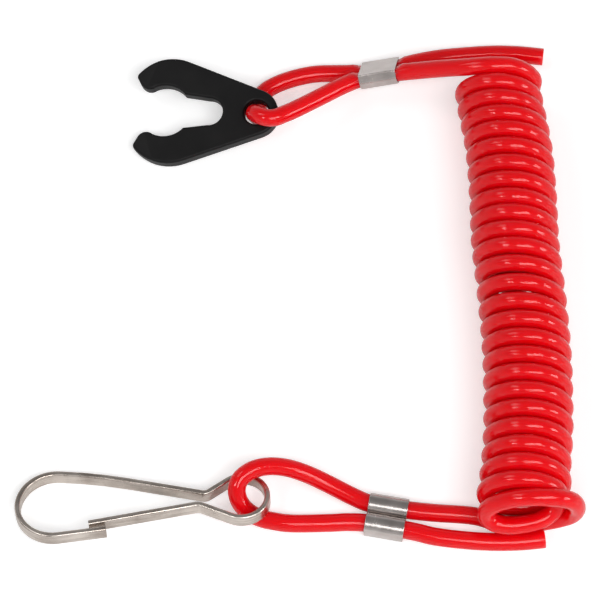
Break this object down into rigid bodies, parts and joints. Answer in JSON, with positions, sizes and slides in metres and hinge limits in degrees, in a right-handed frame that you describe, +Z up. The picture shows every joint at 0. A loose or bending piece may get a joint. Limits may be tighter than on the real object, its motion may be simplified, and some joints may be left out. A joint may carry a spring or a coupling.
{
  "type": "engine kill switch lanyard",
  "caption": "Engine kill switch key on a coiled safety cord: forked clip, close-wound cord with crimped loops and a sprung snap hook.",
  "frame": {"origin": "middle of the clip and the hook together, on the surface they lie on", "axes": "+X from the clip and the hook towards the coil, +Y from the hook towards the clip, +Z up from the surface"},
  "size_m": [0.1408, 0.1412, 0.0225],
  "materials": {
    "clip_plastic": "black moulded nylon with a soft sheen",
    "hook_metal": "nickel-plated flat spring wire, bright with fine rolling marks",
    "ferrule_steel": "plain stainless strip, crimped and lightly dented",
    "cord_plastic": "glossy red flexible plastic, slightly see-through at the edges"
  },
  "bodies": {
    "cord": {"cord_clip_end": "cord_plastic", "cord_coil": "cord_plastic", "cord_hook_end": "cord_plastic", "clip_ferrule": "ferrule_steel", "hook_ferrule": "ferrule_steel"},
    "clip": {"kill_switch_clip": "clip_plastic"},
    "hook": {"snap_hook": "hook_metal"},
    "gate": {"hook_gate": "hook_metal"}
  },
  "joints": [
    {"name": "clip_swing", "type": "hinge", "parent": "cord", "child": "clip", "pos_m": [0.02685, 0.05102, 0.00717], "axis": [0, 0, 1], "range_deg": [-20, 45]},
    {"name": "hook_swing", "type": "hinge", "parent": "cord", "child": "hook", "pos_m": [0.0225, -0.055, 0.006], "axis": [0, 0, 1], "range_deg": [-12, 15]},
    {"name": "gate_spring", "type": "hinge", "parent": "hook", "child": "gate", "pos_m": [0.01301, -0.0576, 0.00589], "axis": [0.0449, -0.2419, -0.9693], "range_deg": [0, 16], "stiffness_Nm_per_rad": 0.02, "springref_deg": -8.59}
  ]
}
